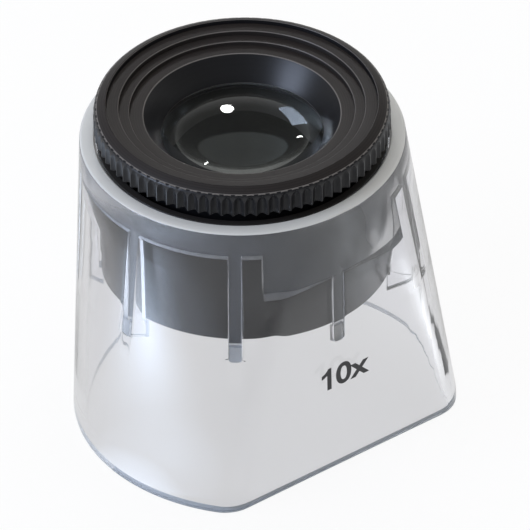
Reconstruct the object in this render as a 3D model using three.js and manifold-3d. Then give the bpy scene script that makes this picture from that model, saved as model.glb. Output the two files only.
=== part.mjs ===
// A focusing stand loupe: a clear moulded stand, a threaded guide sleeve and a knurled focusing head
// that carries two cemented doublets. Millimetres, +Z up. The lens axis is the Z axis, the foot rests
// on z = 0 and the flat front of the stand faces -Y. The head is shown at its usual focus.
import * as THREE from 'three';
import { mergeVertices } from 'three/addons/utils/BufferGeometryUtils.js';
import Module from 'manifold-3d';

// ---------------------------------------------------------------- driving dimensions
// Optics
const lensRadius = 12.2;          // edge radius of all four lens elements
const lensLip = 0.8;              // width of lens edge covered by the eye cone
const eyeCurve = 22;              // radius of curvature, eye side of the eye doublet
const eyeCementCurve = 24;        // radius of curvature of the eye doublet's cemented face
const eyeCrownEdge = 1.2;         // edge thickness of the eye crown
const eyeFlintCentre = 1.5;       // centre thickness of the eye flint
const spacerLength = 4.6;
const spacerWall = 1.2;
const spacerBaffle = 0.8;         // height of the glare baffle inside the spacer
const baffleWidth = 1.4;          // how far the glare baffle reaches in from the spacer's wall
const fieldFlintCentre = 1.6;
const fieldCementCurve = 28;
const fieldCrownEdge = 1.0;
const fieldCurve = 40;            // radius of curvature, object side of the field doublet
const cementGap = 0.1;            // cement film between two elements
const seatGap = 0.05;             // between pieces that are clamped face to face

// Lens tube and what closes it
const coneDepth = 3.4;
const coneSpread = 2.55;          // how much wider the cone is at its top than at the lens
const coneWall = 2.5;             // from the eye opening to the cone's outside
const coneRimWidth = 1.65;        // flat rim round the top of the cone
const coneRimThickness = 1.05;
const retainerWall = 1.3;
const retainerHeight = 2.2;
const spannerSlotWidth = 1.4;
const spannerSlotDepth = 0.8;
const tubeRimWall = 1.4;          // wall round the eye cone
const tubeNoseWall = 1.6;         // wall round the field lens
const tubeGuideLength = 6;        // stretch of tube that locates in the head's skirt
const tubeNoseReach = 0.5;        // tube end below the retaining ring
const flangeWidth = 1.3;
const flangeThickness = 0.95;

// Focusing head
const headGap = 1.45;             // under the knurled rim to the collar top, at the usual focus
const knurlHeight = 2.6;          // where the rim is upright
const knurlCount = 80;
const knurlRunOut = 0.8;          // grooves past that, into the rounding
const knurlDepth = 0.65;
const knurlCrest = 0.14;          // share of the knurl's pitch that is crest
const knurlRoot = 0.08;           // share that is root
const rimOverhang = 0.45;         // knurl tips past the sleeve's outside
const rimCrown = 1.0;             // height of the rounding that runs up to the land
const rimRound = 0.45;            // width of that rounding
const landWidth = 1.3;
const landFall = 0.7;             // the land slopes down to the outside by this
const rimRoundSteps = 3;
const flangeFloor = 0.2;          // tube flange's floor above the rim's underside
const bezelFloor = 1.3;           // bezel's floor above the rim's underside
const bezelDrop = 0.65;           // bezel's outer ring below the land's inner edge
const bezelOuterWidth = 1.5;      // width of the bezel's outer, higher ring
const bezelStepHeight = 0.73;     // down to the bezel's inner ring
const skirtWall = 2.0;
const neckWall = 0.9;             // skirt wall inside the stop ring
const skirtTail = 4.4;            // skirt below its shoulder

// Focusing thread
const threadDepth = 0.8;
const threadCrest = 0.5;          // axial width at a ridge's crest
const threadFoot = 1.1;           // axial width at a ridge's foot
const threadStarts = 3;
const threadPitch = 2.0;          // axial distance between neighbouring ridges
const threadClearance = 0.3;
const maleThreadTop = 1.8;        // below the collar top, at the usual focus
const maleThreadLength = 7.2;
const sleeveThreadTop = 2.6;      // below the collar top
const sleeveThreadLength = 5.6;
const travelUp = 3.0;             // focus travel above the usual focus
const stopClearance = 0.3;        // left between stop ring and sleeve thread at full travel

// Stop ring and damping ring
const stopHeight = 4.2;
const grooveDepth = 1.0;
const grooveHeight = 1.6;
const grooveFromTop = 1.3;
const dampingClearance = 0.15;
const dampingRound = 0.3;         // bevel on the damping ring's rubbing edges

// Guide sleeve
const sleeveWall = 1.4;
const sleeveLength = 20;
const sleeveDrop = 0.3;           // sleeve top below the collar top
const sleeveChamfer = 0.4;

// Clear stand
const standHeight = 44.6;         // foot to collar top, puts the foot's plane at the lenses' focus
const collarWall = 2.2;
const collarLeadIn = 0.25;        // eases the sleeve in, its mouth is wider than the knurled rim above it
const sideFlare = 4.2;            // how far the foot's sides stand out past the collar
const cornerRadius = 5.2;
const standWall = 1.7;
const bandDepth = 4.9;            // thick collar band that grips the sleeve
const padDepth = 11.5;
const padHalfAngle = 30 * Math.PI / 180;
const ribCount = 9;
const ribWidth = 1.8;
const ribReach = 23.4;            // rib ends below the collar top, at the sleeve
const ribEndSlope = 0.6;          // rise of a rib's end towards the wall, per length
const ledgeWidth = 0.6;           // ledge on each rib's foot that the sleeve stands on

// Fits between nested pieces
const lensFit = 0.3;
const looseFit = 0.3;
const tubeFit = 0.4;
const stopFit = 0.2;
const sleeveFit = 0.3;

// Fineness of the curves
const turnSegments = 48;
const lensSegments = 36;
const standSegments = 96;
const standLevels = 6;
const capRings = 5;               // rings in a spherical lens face
const threadStep = 2 * Math.PI / turnSegments;
const cutOver = 1;                // how far cutting solids run past what they cut
const mergeReach = 1e-4;          // corners closer than this are one corner
const threadRoot = 0.2;           // how deep a ridge's foot is sunk into its wall

// ---------------------------------------------------------------- radii, from the lens outwards
const eyeOpening = lensRadius - lensLip;
const lensBore = lensRadius + lensFit;
const coneBody = eyeOpening + coneWall;
const coneBore = coneBody + looseFit;
const tubeRadius = coneBore + tubeRimWall;
const noseRadius = lensBore + tubeNoseWall;
const skirtBore = tubeRadius + tubeFit;
const flangeRadius = skirtBore + flangeWidth;
const skirtRadius = skirtBore + skirtWall;
const maleCrest = skirtRadius + threadDepth;
const sleeveBore = maleCrest + threadClearance;
const sleeveCrest = sleeveBore - threadDepth;
const sleeveRadius = sleeveBore + sleeveWall;
const collarBore = sleeveRadius + sleeveFit;
const collarRadius = collarBore + collarWall;
const neckRadius = skirtBore + neckWall;
const rimRadius = sleeveRadius + rimOverhang;
const landOuter = rimRadius - rimRound;
const landInner = landOuter - landWidth;
const bezelRadius = landInner - looseFit;

// ---------------------------------------------------------------- heights
const collarTop = standHeight;
const rimUnder = collarTop + headGap;
const rimTop = rimUnder + knurlHeight;
const landEdge = rimTop + rimCrown;
const landTop = landEdge + landFall;
const flangeSeat = rimUnder + flangeFloor;
const tubeTop = flangeSeat + seatGap + flangeThickness;
const bezelSeat = rimUnder + bezelFloor;
const coneUnder = tubeTop + seatGap;
const coneTop = coneUnder + coneRimThickness;
const coneBottom = coneTop - coneDepth;
const threadLead = threadPitch * threadStarts;
const sleeveThreadBottom = collarTop - sleeveThreadTop - sleeveThreadLength;
const maleThreadBottom = collarTop - maleThreadTop - maleThreadLength;
const stopTop = sleeveThreadBottom - travelUp - stopClearance;
const skirtShoulder = stopTop + seatGap;
const skirtEnd = skirtShoulder - skirtTail;
const sleeveTop = collarTop - sleeveDrop;
const sleeveBottom = sleeveTop - sleeveLength;

// Depth of a spherical face of the given curvature at the given distance from the axis.
const sag = (curve, r) => curve - Math.sqrt(curve * curve - r * r);

// The lens stack, from the eye cone's lower lip down.
const eyeApex = coneBottom - seatGap + sag(eyeCurve, eyeOpening);
const eyeEdgeTop = eyeApex - sag(eyeCurve, lensRadius);
const eyeEdgeBottom = eyeEdgeTop - eyeCrownEdge;
const eyeCementApex = eyeEdgeBottom - sag(eyeCementCurve, lensRadius);
const eyeFlintBottom = eyeCementApex - cementGap - eyeFlintCentre;
const spacerTop = eyeFlintBottom - seatGap;
const spacerBottom = spacerTop - spacerLength;
const fieldFlintTop = spacerBottom - seatGap;
const fieldCementApex = fieldFlintTop - fieldFlintCentre;
const fieldEdgeTop = fieldCementApex - cementGap - sag(fieldCementCurve, lensRadius);
const fieldEdgeBottom = fieldEdgeTop - fieldCrownEdge;
const fieldApex = fieldEdgeBottom - sag(fieldCurve, lensRadius);
const retainerBore = lensRadius - retainerWall;
const retainerTop = fieldApex + sag(fieldCurve, retainerBore) - seatGap;
const retainerBottom = retainerTop - retainerHeight;
const tubeBottom = retainerBottom - tubeNoseReach;

// ---------------------------------------------------------------- solids
const wasm = await Module();
wasm.setup();

// A closed three.js geometry as a solid that can be joined and cut.
function solid(geometry) {
  const bare = geometry.clone();
  bare.deleteAttribute('normal');
  bare.deleteAttribute('uv');
  const merged = mergeVertices(bare, mergeReach);
  const corners = merged.index.array;
  const kept = [];
  for (let i = 0; i < corners.length; i += 3) {
    const [a, b, c] = [corners[i], corners[i + 1], corners[i + 2]];
    if (a !== b && b !== c && c !== a) kept.push(a, b, c);
  }
  return new wasm.Manifold(new wasm.Mesh({
    numProp: 3,
    vertProperties: merged.attributes.position.array,
    triVerts: new Uint32Array(kept),
  }));
}

// A solid back as a three.js geometry.
function geometryOf(shape) {
  const mesh = shape.getMesh();
  const geometry = new THREE.BufferGeometry();
  geometry.setAttribute('position', new THREE.BufferAttribute(mesh.vertProperties, 3));
  geometry.setIndex(new THREE.BufferAttribute(mesh.triVerts, 1));
  geometry.computeVertexNormals();
  return geometry;
}

// A turned piece about Z. The outline is [radius, height] points, anticlockwise with radius to the right.
// It closes on itself, or starts and ends on the axis.
function turned(outline, segments = turnSegments) {
  const points = outline.map(([r, z]) => new THREE.Vector2(r, z));
  const onAxis = outline[0][0] === 0 && outline[outline.length - 1][0] === 0;
  if (!onAxis) points.push(points[0].clone());
  return new THREE.LatheGeometry(points, segments).rotateX(Math.PI / 2);
}

// A plain tube or, with no bore, a plain rod.
function tube(outer, bore, bottom, top, segments = turnSegments) {
  return turned([[bore, bottom], [outer, bottom], [outer, top], [bore, top]], segments);
}

// Points of a spherical lens face from the axis to the edge. A positive curve bulges up.
function capPoints(apex, curve, bulge) {
  const points = [];
  for (let i = 0; i <= capRings; i++) {
    const r = lensRadius * i / capRings;
    points.push([r, apex - bulge * sag(curve, r)]);
  }
  return points;
}

// Helical ridges about Z, one for each start, between two heights that are length apart. A ridge's
// section runs from its foot, sunk into the wall, to its crest.
function ridges(footRadius, crestRadius, bottom, length, phase) {
  const sink = Math.sign(footRadius - crestRadius) * threadRoot;
  const slope = (threadFoot - threadCrest) / threadDepth;
  const sunkFoot = threadFoot + slope * threadRoot;
  const section = new THREE.Shape([
    new THREE.Vector2(-sunkFoot / 2, footRadius + sink),
    new THREE.Vector2(sunkFoot / 2, footRadius + sink),
    new THREE.Vector2(threadCrest / 2, crestRadius),
    new THREE.Vector2(-threadCrest / 2, crestRadius),
  ]);
  const sweep = 2 * Math.PI * (length - threadFoot) / threadLead;
  const steps = Math.ceil(sweep / threadStep);
  const made = [];
  for (let start = 0; start < threadStarts; start++) {
    const straight = new THREE.ExtrudeGeometry(section, { depth: sweep, steps, bevelEnabled: false });
    const place = straight.attributes.position;
    const first = phase + 2 * Math.PI * start / threadStarts;
    for (let i = 0; i < place.count; i++) {
      const angle = first + place.getZ(i);
      const climb = threadLead * place.getZ(i) / (2 * Math.PI);
      const height = bottom + threadFoot / 2 + place.getX(i) + climb;
      place.setXYZ(i, place.getY(i) * Math.cos(angle), place.getY(i) * Math.sin(angle), height);
    }
    made.push(solid(straight));
  }
  return made;
}

// ---------------------------------------------------------------- the clear stand
// Distance from the lens axis to the stand's wall in the direction of the given angle, at a level that
// is share 0 at the collar and 1 at the foot, moved in by inset. Each level is a circle that grows
// towards the foot and moves forward so that its back stays put, cut by the flat front, with round
// corners.
function wallDistance(angle, share, inset) {
  const radius = collarRadius + sideFlare * share - inset;
  const forward = sideFlare * share;
  const front = collarRadius - inset;
  const corner = cornerRadius - inset;
  const across = Math.abs(Math.cos(angle));
  const ahead = -Math.sin(angle);
  const cornerAhead = front - corner;
  const cornerAcross = Math.sqrt(Math.max((radius - corner) ** 2 - (cornerAhead - forward) ** 2, 0));
  // flat front
  if (ahead > 0 && front * across / ahead <= cornerAcross) return front / ahead;
  // round corner, as long as the ray meets it on the front side of the line between the two centres
  const along = across * cornerAcross + ahead * cornerAhead;
  const off = cornerAcross ** 2 + cornerAhead ** 2 - corner ** 2;
  const root = along * along - off;
  if (along > 0 && root >= 0) {
    const reach = along + Math.sqrt(root);
    const turn = cornerAcross * (reach * ahead - forward) - (cornerAhead - forward) * reach * across;
    if (turn >= 0) return reach;
  }
  // round side or back
  const centre = ahead * forward;
  return centre + Math.sqrt(centre * centre - forward * forward + radius * radius);
}

// A solid bounded by the stand's wall moved in by inset, between two heights.
function standForm(inset, bottom, top) {
  const outline = [[0, bottom]];
  for (let i = 0; i <= standLevels; i++) {
    const share = (1 - i / standLevels) ** 2;
    outline.push([1, top - (top - bottom) * share]);
  }
  outline.push([0, top]);
  const form = turned(outline, standSegments);
  const place = form.attributes.position;
  for (let i = 0; i < place.count; i++) {
    const [x, y, z] = [place.getX(i), place.getY(i), place.getZ(i)];
    const angle = Math.atan2(y, x);
    const share = THREE.MathUtils.clamp((collarTop - z) / standHeight, 0, 1);
    const reach = Math.hypot(x, y) * wallDistance(angle, share, inset);
    place.setXY(i, reach * Math.cos(angle), reach * Math.sin(angle));
  }
  return solid(form);
}

function standBody() {
  const bandBottom = collarTop - bandDepth;
  let contact = padSector();
  for (let i = 0; i < ribCount; i++) contact = contact.add(rib(2 * Math.PI * i / ribCount));
  const ledgeTop = sleeveBottom - sleeveFit;
  const ribEnd = collarTop - ribReach;
  const sleeveRoom = solid(turned([
    [0, ledgeTop],
    [collarBore, ledgeTop],
    [collarBore, collarTop - collarLeadIn],
    [collarBore + collarLeadIn, collarTop],
    [collarBore + collarLeadIn, collarTop + cutOver],
    [0, collarTop + cutOver],
  ], standSegments));
  const ledgeRoom = solid(tube(collarBore - ledgeWidth, 0, ribEnd - cutOver, ledgeTop, standSegments));
  const inside = standForm(standWall, -cutOver, bandBottom).subtract(contact);
  return standForm(0, 0, collarTop).subtract(inside).subtract(sleeveRoom).subtract(ledgeRoom);
}

// One rib, standing out to past the wall, in the direction of the given angle from the front. Its
// lower end rises towards the wall.
function rib(angle) {
  const reach = collarRadius + sideFlare + cornerRadius;
  const ribEnd = collarTop - ribReach;
  const side = new THREE.Shape();
  side.moveTo(0, collarTop);
  side.lineTo(0, ribEnd);
  side.lineTo(collarBore, ribEnd);
  side.lineTo(reach, ribEnd + ribEndSlope * (reach - collarBore));
  side.lineTo(reach, collarTop);
  side.closePath();
  const bar = new THREE.ExtrudeGeometry(side, { depth: ribWidth, bevelEnabled: false });
  bar.translate(0, 0, -ribWidth / 2);
  bar.rotateX(Math.PI / 2);
  bar.rotateZ(angle - Math.PI / 2);
  return solid(bar);
}

// The pad inside the flat front, a sector of a disc that the sleeve bears on.
function padSector() {
  const reach = collarRadius + cutOver;
  const outline = new THREE.Shape();
  outline.moveTo(0, 0);
  outline.lineTo(-reach * Math.tan(padHalfAngle), -reach);
  outline.lineTo(reach * Math.tan(padHalfAngle), -reach);
  outline.closePath();
  const pad = new THREE.ExtrudeGeometry(outline, { depth: padDepth, bevelEnabled: false });
  pad.translate(0, 0, collarTop - padDepth);
  return solid(pad);
}

// ---------------------------------------------------------------- sleeve, head and stop ring
function guideSleeve() {
  const blank = solid(turned([
    [sleeveBore, sleeveBottom],
    [sleeveRadius, sleeveBottom],
    [sleeveRadius, sleeveTop],
    [sleeveBore + sleeveChamfer, sleeveTop],
    [sleeveBore, sleeveTop - sleeveChamfer],
  ]));
  // the sleeve's ridges lie midway between the head's
  const offset = sleeveThreadBottom - maleThreadBottom - threadPitch / 2;
  const phase = 2 * Math.PI * offset / threadLead;
  return wasm.Manifold.union([blank,
    ...ridges(sleeveBore, sleeveCrest, sleeveThreadBottom, sleeveThreadLength, phase)]);
}

function focusRing() {
  // the blank's rim stands past the knurl, which is cut back from it
  const blankRadius = rimRadius + cutOver;
  const rounding = [];
  for (let i = 0; i <= rimRoundSteps; i++) {
    const turn = Math.PI / 2 * i / rimRoundSteps;
    rounding.push([landOuter + rimRound * Math.cos(turn), rimTop + rimCrown * Math.sin(turn)]);
  }
  const blank = solid(turned([
    [skirtBore, skirtEnd],
    [neckRadius, skirtEnd],
    [neckRadius, skirtShoulder],
    [skirtRadius, skirtShoulder],
    [skirtRadius, rimUnder],
    [blankRadius, rimUnder],
    [blankRadius, rimTop],
    ...rounding,
    [landInner, landTop],
    [landInner, bezelSeat],
    [flangeRadius + looseFit, bezelSeat],
    [flangeRadius + looseFit, flangeSeat],
    [skirtBore, flangeSeat],
  ]));
  const knurled = blank.subtract(knurlGrooves());
  return wasm.Manifold.union([knurled,
    ...ridges(skirtRadius, maleCrest, maleThreadBottom, maleThreadLength, 0)]);
}

// Everything outside the knurl's teeth: a ring whose hole has the toothed outline.
function knurlGrooves() {
  const ring = new THREE.Shape();
  ring.absarc(0, 0, rimRadius + 2 * cutOver, 0, 2 * Math.PI, false);
  const teeth = new THREE.Path();
  const pitch = 2 * Math.PI / knurlCount;
  const root = rimRadius - knurlDepth;
  const tooth = [
    [-knurlCrest / 2, rimRadius],
    [knurlCrest / 2, rimRadius],
    [0.5 - knurlRoot / 2, root],
    [0.5 + knurlRoot / 2, root],
  ];
  for (let i = 0; i < knurlCount; i++) {
    for (const [share, r] of tooth) {
      const angle = (i + share) * pitch;
      const step = i === 0 && share < 0 ? 'moveTo' : 'lineTo';
      teeth[step](r * Math.cos(angle), r * Math.sin(angle));
    }
  }
  teeth.closePath();
  ring.holes.push(teeth);
  const grooves = new THREE.ExtrudeGeometry(ring, {
    depth: knurlHeight + knurlRunOut + cutOver,
    bevelEnabled: false,
    curveSegments: turnSegments,
  });
  grooves.translate(0, 0, rimUnder - cutOver);
  return solid(grooves);
}

function stopRing() {
  const bottom = stopTop - stopHeight;
  const grooveTop = stopTop - grooveFromTop;
  const grooveBottom = grooveTop - grooveHeight;
  return turned([
    [neckRadius + stopFit, bottom],
    [maleCrest, bottom],
    [maleCrest, grooveBottom],
    [maleCrest - grooveDepth, grooveBottom],
    [maleCrest - grooveDepth, grooveTop],
    [maleCrest, grooveTop],
    [maleCrest, stopTop],
    [neckRadius + stopFit, stopTop],
  ]);
}

function dampingRing() {
  const top = stopTop - grooveFromTop - dampingClearance;
  const bottom = top - grooveHeight + 2 * dampingClearance;
  const inner = maleCrest - grooveDepth + dampingClearance;
  const outer = sleeveBore - seatGap;
  return turned([
    [inner, bottom],
    [outer - dampingRound, bottom],
    [outer, bottom + dampingRound],
    [outer, top - dampingRound],
    [outer - dampingRound, top],
    [inner, top],
  ]);
}

// ---------------------------------------------------------------- trim and lens tube
function frontBezel() {
  const inner = tubeRadius + looseFit;
  const step = bezelRadius - bezelOuterWidth;
  const outerTop = landTop - bezelDrop;
  const innerTop = outerTop - bezelStepHeight;
  return turned([
    [inner, bezelSeat + seatGap],
    [bezelRadius, bezelSeat + seatGap],
    [bezelRadius, outerTop],
    [step, outerTop],
    [step, innerTop],
    [inner, innerTop],
  ]);
}

function lensTube() {
  return turned([
    [lensBore, tubeBottom],
    [noseRadius, tubeBottom],
    [noseRadius, collarTop - tubeGuideLength],
    [tubeRadius, collarTop - tubeGuideLength],
    [tubeRadius, flangeSeat + seatGap],
    [flangeRadius, flangeSeat + seatGap],
    [flangeRadius, tubeTop],
    [coneBore, tubeTop],
    [coneBore, coneBottom - looseFit],
    [lensBore, coneBottom - looseFit],
  ]);
}

function eyeCone() {
  const top = eyeOpening + coneSpread;
  return turned([
    [eyeOpening, coneBottom],
    [coneBody, coneBottom],
    [coneBody, coneUnder],
    [top + coneRimWidth, coneUnder],
    [top + coneRimWidth, coneTop],
    [top, coneTop],
  ]);
}

function fieldRetainingRing() {
  const ring = solid(tube(lensRadius, retainerBore, retainerBottom, retainerTop));
  const slot = new THREE.BoxGeometry(2 * lensRadius + cutOver, spannerSlotWidth, 2 * spannerSlotDepth);
  slot.translate(0, 0, retainerBottom);
  return ring.subtract(solid(slot));
}

function lensSpacer() {
  const bore = lensRadius - spacerWall;
  const middle = (spacerTop + spacerBottom) / 2;
  return turned([
    [bore, spacerBottom],
    [lensRadius, spacerBottom],
    [lensRadius, spacerTop],
    [bore, spacerTop],
    [bore, middle + spacerBaffle],
    [bore - baffleWidth, middle],
    [bore, middle - spacerBaffle],
  ]);
}

// ---------------------------------------------------------------- lens elements
function eyeLensCrown() {
  return turned([
    ...capPoints(eyeCementApex, eyeCementCurve, -1),
    ...capPoints(eyeApex, eyeCurve, 1).reverse(),
  ], lensSegments);
}

function eyeLensFlint() {
  return turned([
    [0, eyeFlintBottom],
    [lensRadius, eyeFlintBottom],
    ...capPoints(eyeCementApex - cementGap, eyeCementCurve, -1).reverse(),
  ], lensSegments);
}

function fieldLensFlint() {
  return turned([
    ...capPoints(fieldCementApex, fieldCementCurve, 1),
    [lensRadius, fieldFlintTop],
    [0, fieldFlintTop],
  ], lensSegments);
}

function fieldLensCrown() {
  return turned([
    ...capPoints(fieldApex, fieldCurve, -1),
    ...capPoints(fieldCementApex - cementGap, fieldCementCurve, 1).reverse(),
  ], lensSegments);
}

// ---------------------------------------------------------------- assembly
const clearPlastic = { color: 0xe6e9ea, roughness: 0.05, metalness: 0, transparent: true, opacity: 0.35 };
const blackPlastic = { color: 0x2c2b2c, roughness: 0.45, metalness: 0 };
const blackRing = { color: 0x37322f, roughness: 0.5, metalness: 0 };
const flatBlack = { color: 0x17171a, roughness: 0.8, metalness: 0 };
const softRubber = { color: 0x1d1d1d, roughness: 0.9, metalness: 0 };
const crownGlass = { color: 0xdfe8e8, roughness: 0.02, metalness: 0, transparent: true, opacity: 0.35 };
const flintGlass = { color: 0xd8dfd6, roughness: 0.02, metalness: 0, transparent: true, opacity: 0.35 };

const loupe = new THREE.Group();

function add(parent, name, shape, finish) {
  const geometry = shape instanceof THREE.BufferGeometry ? shape : geometryOf(shape);
  const mesh = new THREE.Mesh(geometry, new THREE.MeshStandardMaterial(finish));
  mesh.name = name;
  parent.add(mesh);
}

const stand = new THREE.Group();
add(stand, 'stand_body', standBody(), clearPlastic);
add(stand, 'guide_sleeve', guideSleeve(), blackPlastic);

const head = new THREE.Group();
add(head, 'focus_ring', focusRing(), blackRing);
add(head, 'stop_ring', stopRing(), blackPlastic);
add(head, 'damping_ring', dampingRing(), softRubber);
add(head, 'front_bezel', frontBezel(), blackRing);
add(head, 'lens_tube', lensTube(), blackPlastic);
add(head, 'eye_cone', eyeCone(), blackRing);
add(head, 'eye_lens_crown', eyeLensCrown(), crownGlass);
add(head, 'eye_lens_flint', eyeLensFlint(), flintGlass);
add(head, 'lens_spacer', lensSpacer(), flatBlack);
add(head, 'field_lens_flint', fieldLensFlint(), flintGlass);
add(head, 'field_lens_crown', fieldLensCrown(), crownGlass);
add(head, 'field_retaining_ring', fieldRetainingRing(), blackPlastic);

loupe.add(stand, head);

export default loupe;
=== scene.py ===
# %% [markdown]
# # A focusing loupe in a clear stand
#
# The loupe is a small magnifier for looking at film on a light table. A clear moulded stand with a
# flat front carries a black sleeve, and a black head with the lenses turns in the sleeve on a coarse
# thread. The solids come from the CAD frame, in metres, and this lesson dresses them piece by piece.
# We print the size of every CAD solid first.

# %% load the frame
import math
import bmesh
import bpy
from mathutils import Matrix, Vector


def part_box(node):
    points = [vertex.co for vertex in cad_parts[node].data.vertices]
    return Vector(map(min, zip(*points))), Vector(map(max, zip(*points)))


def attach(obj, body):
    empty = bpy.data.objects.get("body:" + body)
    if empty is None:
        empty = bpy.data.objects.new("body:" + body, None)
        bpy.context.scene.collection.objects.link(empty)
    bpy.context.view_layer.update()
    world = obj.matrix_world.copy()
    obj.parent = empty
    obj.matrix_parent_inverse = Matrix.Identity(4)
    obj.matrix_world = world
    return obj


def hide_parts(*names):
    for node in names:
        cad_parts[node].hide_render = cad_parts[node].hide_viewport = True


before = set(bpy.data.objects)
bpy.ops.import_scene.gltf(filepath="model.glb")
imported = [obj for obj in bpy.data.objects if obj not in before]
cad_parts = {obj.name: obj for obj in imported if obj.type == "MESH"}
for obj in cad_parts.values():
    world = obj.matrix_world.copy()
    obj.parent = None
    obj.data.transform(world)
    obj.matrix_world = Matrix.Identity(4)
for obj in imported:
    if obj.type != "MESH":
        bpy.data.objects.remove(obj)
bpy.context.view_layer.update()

MM = 0.001
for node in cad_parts:
    low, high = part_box(node)
    print(f"{node:22s} radius {high.x / MM:6.2f}  from {low.z / MM:6.2f} to {high.z / MM:6.2f} mm")

# %% [markdown]
# ## The camera first
#
# The camera looks down at the front corner of the stand from far away, with a very long lens, so that
# upright edges stay almost parallel. We work out its right, up and view directions as plain vectors
# and put them into the camera's matrix. It is rolled by one degree, as a camera held by hand is.

# %% place the camera
AZIMUTH = math.radians(36.4)
ELEVATION = math.radians(37.87)
ROLL = math.radians(1.08)
VIEW_WIDTH = 74.65 * MM
CAMERA_DISTANCE = 3.2
TARGET_RIGHT, TARGET_DOWN = 3.18 * MM, 18.40 * MM
stand_low, stand_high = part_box("stand_body")
COLLAR_TOP = stand_high.z

level_right = Vector((math.cos(AZIMUTH), -math.sin(AZIMUTH), 0))
view = Vector((math.sin(AZIMUTH) * math.cos(ELEVATION), math.cos(AZIMUTH) * math.cos(ELEVATION),
               -math.sin(ELEVATION)))
level_up = level_right.cross(view)
camera_right = math.cos(ROLL) * level_right - math.sin(ROLL) * level_up
camera_up = math.sin(ROLL) * level_right + math.cos(ROLL) * level_up
target = Vector((0, 0, COLLAR_TOP)) + camera_right * TARGET_RIGHT - camera_up * TARGET_DOWN
camera_place = target - view * CAMERA_DISTANCE

bpy.ops.object.camera_add(location=camera_place)
camera = bpy.context.object
camera.name = "camera"
turn = Matrix((camera_right, camera_up, -view)).transposed().to_4x4()
camera.matrix_world = Matrix.Translation(camera_place) @ turn
SENSOR_MM = 36
camera.data.sensor_width = SENSOR_MM
camera.data.lens = SENSOR_MM * CAMERA_DISTANCE / VIEW_WIDTH
camera.data.clip_end = 20
bpy.context.scene.camera = camera
bpy.context.scene.view_settings.view_transform = "Standard"
print("lens", round(camera.data.lens), "mm, aimed at", [round(c / MM, 2) for c in target])

# %% [markdown]
# ## Tools for round pieces
#
# Almost every piece of the head was turned on a lathe, or moulded in a turned mould. Blender can do
# the same: draw half of the section point by point with extrude, round its corners with a vertex
# bevel, and spin it about Z. Where the first and last copies meet we merge them, and then we
# recalculate the normals, because spin can leave a shape inside out.

# %% helper: a clean start
def start_clean(piece=None):
    """Leave edit mode, with nothing selected but the one piece to work on."""
    if bpy.context.object and bpy.context.object.mode != "OBJECT":
        bpy.ops.object.mode_set(mode="OBJECT")
    bpy.ops.object.select_all(action="DESELECT")
    if piece:
        piece.select_set(True)
        bpy.context.view_layer.objects.active = piece


def select_verts(test):
    """In edit mode, select just the vertices whose place passes the test."""
    edited = bmesh.from_edit_mesh(bpy.context.object.data)
    bpy.ops.mesh.select_all(action="DESELECT")
    for vert in edited.verts:
        vert.select = test(vert.co)
    edited.select_flush(True)
    bmesh.update_edit_mesh(bpy.context.object.data)


def select_whole():
    bpy.ops.mesh.select_all(action="SELECT")


SAME_PLACE = 0.001 * MM


def tidy_shell(smooth_degrees):
    """Merge doubles, turn the faces outwards and shade soft curves smooth."""
    select_whole()
    bpy.ops.mesh.remove_doubles(threshold=2 * SAME_PLACE)
    bpy.ops.mesh.dissolve_degenerate(threshold=SAME_PLACE)
    select_whole()
    bpy.ops.mesh.normals_make_consistent(inside=False)
    bpy.ops.object.mode_set(mode="OBJECT")
    bpy.ops.object.shade_smooth_by_angle(angle=math.radians(smooth_degrees))


# %% helper: draw a section and spin it
ROUND_STEPS = 160
AT_POINT = 1e-7


def drawn_line(name, corners):
    """A plane merged to a point and extruded from corner to corner, left in edit mode."""
    start_clean()
    bpy.ops.mesh.primitive_plane_add(size=1 * MM, location=(0, 0, 0))
    piece = bpy.context.object
    piece.name = piece.data.name = name
    bpy.ops.object.mode_set(mode="EDIT")
    bpy.ops.mesh.merge(type="CENTER")
    bpy.ops.transform.translate(value=corners[0])
    for here, there in zip(corners, corners[1:]):
        bpy.ops.mesh.extrude_region_move(TRANSFORM_OT_translate={"value": there - here})
    return piece


def turned_piece(name, outline, closed=True, smooth=34):
    """Spin a section of (radius, height) or (radius, height, rounding) corners, in metres."""
    corners = [Vector((radius, 0, height)) for radius, height, *_ in outline]
    piece = drawn_line(name, corners)
    if closed:
        ends = (corners[0], corners[-1])
        select_verts(lambda place: any((place - end).length < AT_POINT for end in ends))
        bpy.ops.mesh.edge_face_add()
    for spot, (_, _, *rounding) in zip(corners, outline):
        if rounding:
            select_verts(lambda place: (place - spot).length < AT_POINT)
            bpy.ops.mesh.bevel(offset=rounding[0], segments=4, affect="VERTICES")
    select_whole()
    bpy.ops.mesh.spin(steps=ROUND_STEPS, angle=math.tau, center=(0, 0, 0), axis=(0, 0, 1))
    tidy_shell(smooth)
    print(name, "has", len(piece.data.polygons), "faces")
    return piece


# %% [markdown]
# ## A tool for pieces that are not quite round
#
# The stand's wall and the knurled rim change as we go round. For those we loft: a circle is extruded
# once for each further level of the section, which gives a tube of the right number of faces, and
# then each vertex is moved to its place. The row of a vertex is its height in the tube, and its
# column is its direction, counted from +Y as Blender's circle is.

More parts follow.
